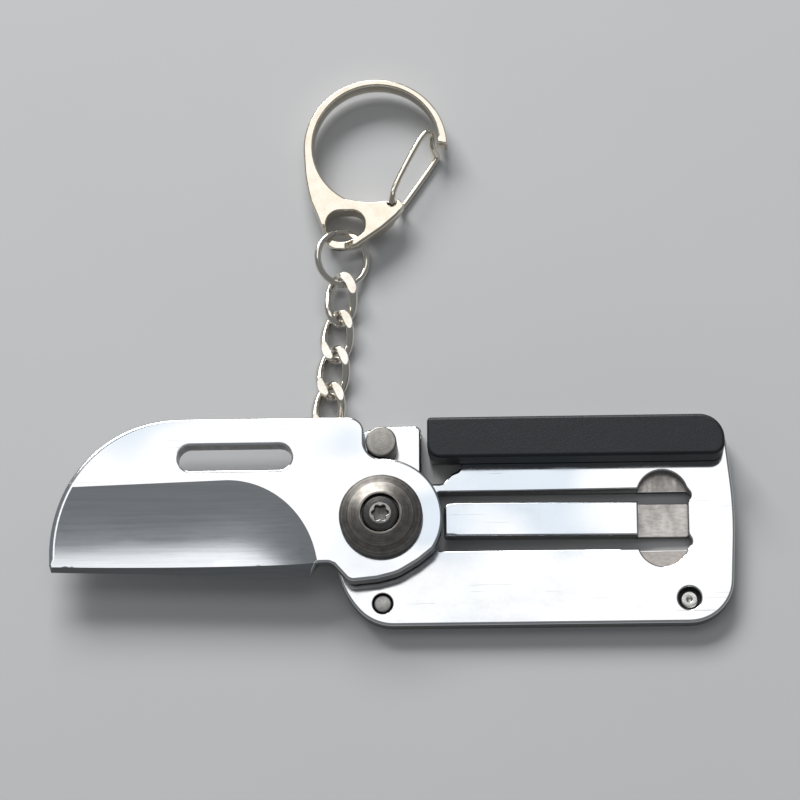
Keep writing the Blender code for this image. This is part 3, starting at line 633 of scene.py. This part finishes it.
def build_plate():
    solid = Solid()
    round_holes = [(*FRONT_PIN, 1.5), (*REAR_PIN, 1.7), (*STOP, 1.7), (0.0, 0.0, 2.7)]
    holes = [circle(x, y, r, 48) for x, y, r in round_holes]
    rim = lambda loop: np.full(len(loop), 0.24)
    solid.plate([plate_outline(), opening(True)] + holes, level(PLATE_T), level(FLOOR_Z),
                [(0.42, 0.36), (rim, rim), (0.14, 0.14), (0.22, 0.2), (0.1, 0.1), (0.1, 0.1)], [(0.0, 0.0)])
    solid.plate([plate_outline(), opening(False)] + [circle(x, y, r, 48) for x, y, r in round_holes[:3]]
                + [circle(0.0, 0.0, 4.2, 64)] + [circle(x, y, 2.35, 40) for x, y in GUARD_SCREWS],
                level(FLOOR_Z), level(0.0), [(0.0, 0.0)], [(0.34, 0.3), (0.2, 0.2), (0.14, 0.14)])
    lug = fillet([(-5.8, 7.8), (-5.8, 12.9), (-10.8, 12.9, 2.0), (-12.0, 9.5, 2.5), (-11.3, 7.8)])
    solid.plate([lug, circle(-8.6, 10.7, 1.85, 48)], level(2.15), level(1.25), [(0.15, 0.15)], [(0.15, 0.15)])
    plate = solid.make("plate_polished", MIRROR, SHADED_CUT_EDGE)
    floors = Solid()
    for centre, line, ends in (((POCKET_X, POCKET_Y[0]), SLIT_Y[0], (-164.0, -16.0)),
                               ((POCKET_X, POCKET_Y[1]), SLIT_Y[1], (12.0, 168.0))):
        patch = arc(*centre, POCKET_R + 0.1, *ends, 30)
        patch = [(x, min(y, line) if line < 0 else max(y, line)) for x, y in patch]
        floors.plate([patch], level(FLOOR_Z + 0.015), level(0.4), [(0.06, 0.06)], [(0.0, 0.0)])
    pocket = floors.make("plate_pocket_floor", POCKET)
    for piece in (plate, pocket):
        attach(piece, "handle")
        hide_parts("handle_plate")


# ---- lock bar ----

def build_lock_bar():
    """Bar and neck, which bends up from the plate."""
    wall, left = POCKET_X + POCKET_R, POCKET_X - POCKET_R
    body = Solid()
    tip = [(BAR_TIP_X, BAR_Y[0], 0.5), (left, BAR_Y[0]), (left, BAR_Y[1]), (BAR_TIP_X, BAR_Y[1], 0.9)]
    edge = lambda loop: np.where(loop[:, 0] > left - 0.01, 0.25, np.where(loop[:, 0] < 10.4, 0.42, 0.26))
    body.plate([dense(fillet(tip), 0.8)], level(PLATE_T), level(0.0), [(edge, edge)], [(0.25, 0.25)])
    neck = Solid()
    strip = dense([(left - 0.3, BAR_Y[0]), (wall, BAR_Y[0]), (wall, BAR_Y[1]), (left - 0.3, BAR_Y[1])], 0.35)
    inner = [(x, y) for x in np.arange(left, wall, 0.35) for y in np.arange(-1.7, 2.8, 0.5)]
    side = lambda loop: np.where(np.abs(loop[:, 1] - 0.4) > 2.49, 0.12, 0.0)
    neck.plate([strip], level(FLOOR_Z), level(0.0), [(side, side)], [(side, side)],
               top_points=inner, low_points=inner)
    for name, solid, material in (("lock_bar_body", body, BAR_STEEL), ("lock_bar_neck", neck, NECK)):
        piece = solid.make(name, material, SHADED_CUT_EDGE)
        bend(piece)
        if name == "lock_bar_body":
            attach(piece, "lock_bar")
        else:
            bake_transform(piece)
        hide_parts("lock_bar")


BAR_LIFT = math.tan(math.radians(1.7))   # slope of the bar at rest
BEND_START, BEND_END = 43.5, 39.5        # x between which the neck bends
BEND_Z = 0.6 * MM                        # half the neck's thickness


def bend(piece):
    """Lift the flat bar: a parabola along the neck, then a straight slope to the tip."""
    reach = BEND_START - BEND_END
    for v in piece.data.vertices:
        x = v.co.x / MM
        lean = min(max((BEND_START - x) / reach, 0.0), 1.0)
        lift = NECK_X - x if x < BEND_END else max(BEND_START - x, 0.0) ** 2 / (2 * reach)
        v.co.x += (v.co.z - BEND_Z) * BAR_LIFT * lean
        v.co.z += lift * BAR_LIFT * MM


# ---- guard, screws and pins ----

def build_guard():
    solid = Solid()
    corners = [(6.7, 14.95, 0.6), (6.7, 8.85, 1.9), (49.9, 8.85, 1.8), (49.9, 14.95, 3.7)]
    solid.plate([dense(fillet(corners), 2.0)], level(7.3), level(3.2), [(0.5, 0.42)], [(0.15, 0.15)])
    guard = solid.make("guard_coated", GUARD_BLACK)
    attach(guard, "handle")
    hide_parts("edge_guard")


def handle_piece(obj, slot, *nodes):
    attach(obj, "handle")
    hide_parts(*nodes)


def build_pins():
    stop = fillet([(0.0, 3.2), (2.25, 3.2), (2.25, 7.3, 0.22), (0.0, 7.3)], 5)
    handle_piece(lathe("stop_pin_turned", stop + [(0.0, 5.0)], STOP_STEEL, STOP), "turned_steel", "stop_pin")
    front = fillet([(0.0, 0.2), (1.3, 0.2), (1.3, 2.92, 0.25), (0.0, 2.92)], 5)
    handle_piece(lathe("front_pin_turned", front, FRONT_PIN_STEEL, FRONT_PIN, 48), "pin_steel", "front_pin")
    rear = fillet([(0.0, 0.2), (1.3, 0.2), (1.3, 1.9, 0.25), (0.45, 1.9, 0.1), (0.25, 1.55), (0.0, 1.5)], 5)
    handle_piece(lathe("rear_pin_turned", rear, PIN_STEEL, REAR_PIN, 48), "pin_steel", "rear_pin")


def lobed(radius, waist):
    """The outline of the screw's six-lobed socket."""
    angles = np.linspace(0, 2 * math.pi, 60, endpoint=False)
    r = [(radius + waist) / 2 + (radius - waist) / 2 * math.cos(6 * a) for a in angles]
    return [(q * math.cos(a), q * math.sin(a)) for q, a in zip(r, angles)]


def ring_points(radii, steps, at=(0.0, 0.0)):
    return [p for r in radii for p in circle(at[0], at[1], r, steps)]


def build_pivot():
    low, high = 7.5, 10.5
    cone = fillet([(6.05, low + 0.06), (6.05, 8.85, 0.3), (4.8, 9.68, 4.0), (3.15, high - 0.08, 0.12),
                   (2.85, high - 0.05, 0.06), (2.85, 9.0)], 5)
    profile = [(2.7, 9.0), (2.7, 8.2), (4.9, 8.2), (4.9, low), (6.0, low)] + cone
    collar = lathe("collar_turned", profile, COLLAR, segments=128, sharp=24)
    handle_piece(collar, "turned_steel", "pivot_collar")
    head = Solid()
    crown = lambda x, y: 10.36 - 0.085 * np.clip(np.hypot(x, y) - 0.9, 0, 9) ** 2
    head.plate([circle(0, 0, 2.6, 96), lobed(1.22, 0.92)], crown, level(9.2), [(0.45, 0.3), (0.16, 0.14)],
               [(0.0, 0.0)], top_points=ring_points((1.35, 1.55, 1.8, 2.0), 60))
    screw = head.make("pivot_screw_head", SCREW_BLACK)
    screw.data.materials.append(WORN_RIM)
    for face in screw.data.polygons:
        x, y, z = face.center / MM
        if z > 10.15 and math.hypot(x, y) < 1.5:
            face.material_index = 1
    bottom = [(0.0, 9.5), (1.35, 9.62), (1.35, 9.3), (0.0, 9.3)]
    floor = lathe("pivot_screw_socket", bottom, SOCKET, segments=48)
    for piece in (screw, floor):
        handle_piece(piece, "black_screw", "pivot_screw")
    barrel = fillet([(0.0, 0.0), (4.0, 0.0, 0.2), (4.0, 0.9), (2.5, 0.9), (2.5, 8.8), (0.0, 8.8)], 4)
    handle_piece(lathe("pivot_barrel_turned", barrel, BARREL_STEEL), "turned_steel", "pivot_barrel")
    for n, (name, at) in enumerate(zip(("guard_screw_front", "guard_screw_rear"), GUARD_SCREWS)):
        top = Solid()
        top.plate([circle(*at, 2.15, 64), hexagon(at, 0.85)], level(1.25), level(0.05),
                  [(0.9, 0.9), (0.0, 0.0)], [(0.12, 0.12), (0.1, 0.1)])
        piece = top.make(name + "_head", SCREW_BLACK)
        seat = lathe(name + "_seat", [(0.0, 0.9), (1.0, 0.9), (1.0, 0.75), (0.0, 0.75)], SCREW_BLACK, at, 32)
        for part in (piece, seat):
            handle_piece(part, "turned_steel", name)


def hexagon(at, radius):
    return dense(circle(at[0], at[1], radius, 6), 0.3)


# ---- blade ----

MID_Z, HALF = 5.8, 1.5
GRIND_CORNER = (-22.5, -8.5, 13.4, 14.38)   # quarter ellipse at the heel: centre x, y and half axes
GRIND_RISE = 0.032                          # rise of the straight part per millimetre towards the heel
FACET_BOW = (-28.7, -6.8, 19.4, 0.27)       # top of the facet: lowest x, y, then a distance and its rise
EDGE_LINE = ((-48.0, -7.25), (-10.3, -8.35))
GRIND_WIDTH, EDGE_LAND = 12.6, 0.03
SLOT = (-21.37, 9.2, 16.75, 3.83)   # centre x, y, length and width


def grind_top(x):
    """The height on the blade where the grind begins, at each x."""
    cx, cy, a, b = GRIND_CORNER
    x = np.asarray(x, float)
    straight = cy + b + GRIND_RISE * np.minimum(x - cx, 0.0)
    sweep = cy + b * np.sqrt(np.clip(1.0 - (np.maximum(x - cx, 0.0) / a) ** 2, 0.0, 1.0))
    return np.where(x > cx + a, -30.0, np.minimum(straight, sweep))


def grind_line():
    """The same boundary as a line of points, from the nose to the heel."""
    cx, cy, a, b = GRIND_CORNER
    line = [(float(x), float(grind_top(x))) for x in np.linspace(-47.3, cx, 36)]
    turns = np.radians(np.linspace(0, 81, 36)[1:])
    return line + [(cx + a * math.sin(t), cy + b * math.cos(t)) for t in turns]


def facet_y(x):
    """The top of the narrow cutting facet, at each x."""
    at, low, reach, rise = FACET_BOW
    return low + rise * ((np.asarray(x, float) - at) / reach) ** 2


def grind_depth(x, y):
    """How far the ground hollow lies below the blade's flat, with the narrow cutting facet at its foot."""
    line = facet_y(x)
    share = np.clip((grind_top(x) - np.maximum(y, line)) / GRIND_WIDTH, 0.0, 1.0)
    hollow = share + 0.75 * share * (1.0 - share)
    edge = np.interp(x, *zip(*EDGE_LINE))
    down = np.clip((line - y) / np.maximum(line - edge, 0.05), 0.0, 1.0) * (np.asarray(x) < -9.3)
    return hollow + (HALF - EDGE_LAND - hollow) * down


def build_blade():
    turns = np.radians(np.linspace(0, 90, 60))
    nose = [(-29.8 - 18.55 * math.cos(t), -4.5 + 19.6 * math.sin(t)) for t in turns]
    seat = arc(0.0, 11.4, 2.5, 180, 262, 16)
    spine = fillet([(-8.0, 15.1), (-2.5, 15.1, 2.2), (-2.5, 12.0)])
    tang = arc(0.0, 0.0, 8.85, 91, -32, 50)
    under = fillet([(7.0, -5.2), (5.4, -6.4, 4.0), (2.4, -8.2, 6.0), (-0.6, -8.95), (-4.6, -9.35, 1.6),
                    (-7.2, -6.45, 1.6), (-9.3, -6.5, 0.5), EDGE_LINE[1]])[1:-1]
    tip = [EDGE_LINE[1], EDGE_LINE[0], (-48.3, -6.2)]
    outline = dense(tip + nose + spine[1:] + seat[1:] + tang + under, 0.7)
    x, y, length, width = SLOT
    reach = (length - width) / 2
    slot = arc(x + reach, y, width / 2, -90, 90, 28) + arc(x - reach, y, width / 2, 90, 270, 28)
    slot = dense(slot, 0.7)

    def edge_width(loop):
        x, y = loop[:, 0], loop[:, 1]
        wide = np.full(len(loop), 0.34)
        wide = np.where((x < -29.0) & (y > -6.0), 0.34 + 0.5 * np.clip((-29.0 - x) / 10.0, 0, 1), wide)
        wide = np.where(x > -7.0, 0.42, wide)
        return np.where((y < -7.0) & (x < -9.9), 0.01, wide)

    def edge_depth(loop):
        return np.minimum(edge_width(loop) * 0.62, 0.26)

    top = lambda x, y: MID_Z + HALF - grind_depth(x, y)
    low = lambda x, y: MID_Z - HALF + grind_depth(x, y)
    bound = grind_line()
    facet_line = dense([(x, float(facet_y(x))) for x in np.linspace(-47.9, -9.7, 60)], 0.8, False)
    rows = (0.06, 0.15, 0.3, 0.6, 1.0, 1.5, 2.1, 2.8, 3.6, 4.5, 5.5, 6.6, 7.7, 8.8, 9.8, 10.7, 11.5)
    grid = [(x, float(grind_top(x)) - d) for x in np.arange(-47.2, -9.2, 0.45) for d in rows]
    grid = [(x, y) for x, y in grid if y > float(facet_y(x)) + 0.2
            and ((x + 29.8) / 18.0) ** 2 + (max(y + 4.5, 0) / 19.0) ** 2 < 1]
    lines = [bound, facet_line]
    solid = Solid()
    edges = [(edge_width, edge_depth), (0.6, 0.1), (0.1, 0.1)]
    solid.plate([outline, slot, circle(0, 0, 2.7, 64)], top, low, edges, edges, lines, grid, lines, grid)
    blade = solid.make("blade_ground", MIRROR, SHADED_CUT_EDGE)
    blade.data.materials.append(GRIND)
    blade.data.materials.append(SHADED_FACET)
    for face in blade.data.polygons:
        x, y, z = face.center / MM
        # Ground faces take the grind steel; faces below the facet line take the facet steel, whose darkness
        # is painted shade.
        if x < -8.96 and y < float(grind_top(x)) - 0.01 and abs(face.normal.z) > 0.6:
            face.material_index = 2 if y > float(facet_y(x)) else 3
    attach(blade, "blade")
    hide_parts("blade")


# ---- chain and clasp ----

LINKS = ((-8.0, 17.9, 1.55), (-7.35, 23.4, 1.55), (-6.75, 29.0, 1.55), (-6.2, 34.6, 1.9))
END_RING, JUMP = (-8.35, 13.3, 1.7), (-5.95, 40.8, 2.65)
GATE_PIVOT = (1.55, 48.95)


def placed(points, centre, heading=0.0, pitch=0.0, roll=0.0):
    turn = Matrix.Rotation(math.radians(heading), 4, "Z") @ Matrix.Rotation(math.radians(pitch), 4, "X")
    turn = Matrix.Translation(centre) @ turn @ Matrix.Rotation(math.radians(roll), 4, "Y")
    return [tuple(turn @ Vector(p)) for p in points]


def build_chain():
    turns = np.linspace(0, 2 * math.pi, 72, endpoint=False)
    oval = [(1.6 * math.cos(a), 2.45 * math.sin(a), 0.0) for a in turns]
    rings = sweep(placed(oval, END_RING, -4.0, 0.0, -45.0), 0.42, True)
    ring = wire_object("end_ring_wire", rings, True, CHAIN_NICKEL)
    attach(ring, "end_ring")
    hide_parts("end_ring")
    stops = [END_RING] + list(LINKS) + [JUMP]
    loop = []
    for a in np.linspace(0, 2 * math.pi, 120, endpoint=False):
        c, s = math.cos(a), math.sin(a)
        w, y = 1.9 * math.copysign(abs(c) ** (2 / 2.8), c), 3.6 * math.copysign(abs(s) ** (2 / 2.8), s)
        twist = math.radians(48.0) * y / 3.6
        loop.append((w * math.cos(twist), y, w * math.sin(twist)))
    for n, centre in enumerate(LINKS):
        heading = angle_at(stops[n], stops[n + 2]) - 90.0
        rings = sweep(loop, 0.64, True, 40)
        pitch = 8.0 if n == 3 else 0.0
        shape = rings.shape
        rings = np.array(placed(rings.reshape(-1, 3), centre, heading, pitch)).reshape(shape)
        flats = (centre[2] - 1.15, centre[2] + 1.15)
        link = wire_object("chain_link_%d_wire" % (n + 1), rings, True, CHAIN_NICKEL, flats)
        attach(link, "link_%d" % (n + 1))
        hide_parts("chain_link_%d" % (n + 1))
    coil = []
    for t in np.linspace(-0.5, 0.5, 110):
        a = math.radians(-73.0 + 356.0 * t)
        coil.append((4.0 * math.cos(a), 4.0 * math.sin(a), 0.22 * t))
    rings = sweep(placed(coil, JUMP, 0.0, 5.0, 28.0), 0.5, False)
    ring = wire_object("jump_ring_wire", rings, False, CHAIN_NICKEL)
    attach(ring, "jump_ring")
    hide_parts("jump_ring")


def smooth_step(value, low, high):
    t = np.clip((value - low) / (high - low), 0.0, 1.0)
    return t * t * (3 - 2 * t)


def clasp_top(x, y):
    groove = smooth_step(-x, 4.2, 5.6) * smooth_step(-y, -45.6, -44.4)
    px, py = GATE_PIVOT
    notch = (np.abs(x - px) < 0.72) & (y < 51.0) & (np.hypot(x - px, np.minimum(y - py, 0)) < 0.72)
    return np.where(notch, 3.0, 4.35 - 1.25 * groove)


def clasp_low(x, y):
    ring = smooth_step(-np.hypot(x + 5.95, y - 40.8), -6.3, -5.3) * smooth_step(x, -8.2, -7.2)
    leg = smooth_step(-np.hypot(x - GATE_PIVOT[0], y - GATE_PIVOT[1]), -2.3, -1.9)
    return 1.05 + 1.25 * ring + np.maximum(leg - ring, 0) * 1.15


def build_clasp():
    nose = [(8.62, 59.2), (8.36, 58.85), (8.31, 58.4)]
    outer = arc(-0.9, 57.75, 10.85, 1.5, 184, 110)
    foot = fillet([outer[-1], (-11.5, 53.5, 18.0), (-10.85, 49.9, 12.0), (-9.75, 47.4, 12.0),
                   (-8.8, 44.8, 4.0), (-8.4, 42.1, 2.2), (-3.9, 42.1, 1.4), (0.1, 44.9, 8.0),
                   (2.5, 47.0, 4.0), (3.5, 48.5, 0.5),
                   (2.65, 49.6, 0.4), (0.7, 49.35), (-2.2, 49.05, 9.0), (-5.5, 49.86)])
    inner = arc(-0.8, 58.05, 9.45, 240, 6, 100)
    outline = dense(nose + outer + foot[1:-1] + inner, 0.5)
    left, right, low, high = -8.23, -2.53, 43.4, 47.8
    eye = fillet([(left, low, 2.15), (right, low, 2.15), (right, high, 2.0), (left, high, 2.0)])
    eye = dense(eye, 0.4)
    px, py = GATE_PIVOT
    u_top = arc(px, py, 0.75, 180, 360, 20)
    u_top = [(u_top[0][0], 49.2)] + u_top + [(u_top[-1][0], 49.2)]
    u_low = [(px + (x - px) * 0.93, py + (y - py) * 0.93) for x, y in u_top]
    grid = [(x, y) for x in np.arange(-10.5, 4, 0.45) for y in np.arange(42.4, 50.6, 0.45)]
    hollow = ring_points((1.9, 2.0, 2.1, 2.2, 2.3), 40, GATE_PIVOT)
    spots = np.array(grid + hollow)
    keep = inside(spots[:, 0], spots[:, 1], np.array(outline))
    spots = [p for p, k in zip(grid + hollow, keep) if k and math.dist(p, GATE_PIVOT) > 0.9]
    foot_side = lambda loop: (loop[:, 0] > -4.4) & (loop[:, 0] < 2.9) & (loop[:, 1] < 47.8)
    narrow = lambda loop: (loop[:, 1] < 49.5) | (loop[:, 0] > 8.2)
    width = lambda loop: np.where(foot_side(loop), 0.48, np.where(narrow(loop), 0.24, 0.30))
    solid = Solid()
    edges = [(width, 0.55), (0.24, 0.4)]
    solid.plate([outline, eye], clasp_top, clasp_low, edges, edges, [u_top, u_low], spots, [], spots)
    body = solid.make("clasp_cast", NICKEL)
    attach(body, "clasp")
    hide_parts("clasp_body")


def build_gate():
    route = [(*GATE_PIVOT, 3.4), (*GATE_PIVOT, 4.3), (1.7, 49.7, 4.9), (1.95, 50.9, 4.9), (4.0, 55.25, 4.9),
             (6.1, 59.0, 4.9), (6.8, 59.7, 4.8), (7.35, 59.7, 4.3), (7.5, 59.1, 3.4), (7.6, 58.2, 2.4),
             (7.95, 57.6, 1.3), (8.2, 57.2, 0.65), (7.9, 56.6, 0.5), (3.75, 50.5, 0.5), (2.9, 49.3, 0.6),
             (2.75, 48.8, 1.0), (2.75, 48.8, 1.9)]
    gate = wire_object("gate_wire", sweep(smooth(route, 8), 0.45, False), False, NICKEL)
    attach(gate, "gate")
    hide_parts("clasp_gate")


# ---- stage ----

def build_camera():
    tilt, turn, roll = (math.radians(a) for a in (15.4, 8.8, -0.2))
    target, distance, focal = Vector((0.00262, 0.01873, 0.003)), 0.5, 152.8
    back = Vector((math.sin(tilt) * math.sin(turn), -math.sin(tilt) * math.cos(turn), math.cos(tilt)))
    right = Vector((0, 1, 0)).cross(back).normalized()
    up = back.cross(right)
    right, up = (right * math.cos(roll) + up * math.sin(roll), up * math.cos(roll) - right * math.sin(roll))
    camera = bpy.data.objects.new("camera", bpy.data.cameras.new("camera"))
    bpy.context.scene.collection.objects.link(camera)
    matrix = Matrix((right, up, back)).transposed().to_4x4()
    matrix.translation = target + distance * back
    camera.matrix_world = matrix
    camera.data.sensor_width = 36.0
    camera.data.lens = focal
    camera.data.clip_start = 0.01
    bpy.context.scene.camera = camera


def area_light(name, place, aim, size, power):
    light = bpy.data.lights.new(name, "AREA")
    light.shape = "RECTANGLE"
    light.size, light.size_y = size
    light.energy = power
    obj = bpy.data.objects.new(name, light)
    bpy.context.scene.collection.objects.link(obj)
    obj.location = place
    obj.rotation_euler = (Vector(aim) - Vector(place)).to_track_quat("-Z", "Y").to_euler()


def build_stage():
    paint = Paint("pale_floor", (0.56, 0.565, 0.57), 0.0, 0.85)
    cloud = paint.noise(0.02, (1, 1, 1), 3.0, 0.5)
    paint.colour(paint.mix(cloud, (0.55, 0.555, 0.56), (0.58, 0.585, 0.59)))
    mesh = bpy.data.meshes.new("floor")
    mesh.from_pydata([(-3, -3, 0), (3, -3, 0), (3, 3, 0), (-3, 3, 0)], [], [(0, 1, 2, 3)])
    floor = bpy.data.objects.new("floor", mesh)
    bpy.context.scene.collection.objects.link(floor)
    mesh.materials.append(paint.material)
    world = bpy.data.worlds.new("studio")
    bpy.context.scene.world = world
    world.use_nodes = True
    world.node_tree.nodes["Background"].inputs["Color"].default_value = (0.93, 0.965, 1.0, 1.0)
    world.node_tree.nodes["Background"].inputs["Strength"].default_value = 0.22
    area_light("overhead", (-0.035, 0.3225, 0.95), (-0.035, 0.3225, 0.0), (0.66, 0.405), 1.04)
    area_light("back", (-0.35, 1.05, 0.75), (0, 0.0, 0), (0.9, 0.5), 19.0)
    bpy.context.scene.view_settings.view_transform = "Standard"


build_camera()
build_stage()
build_plate()
build_lock_bar()
build_guard()
build_pins()
build_pivot()
build_blade()
build_chain()
build_clasp()
build_gate()
for washer in ("washer_lower", "washer_upper"):
    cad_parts[washer].data.materials.clear()
    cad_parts[washer].data.materials.append(BRONZE)
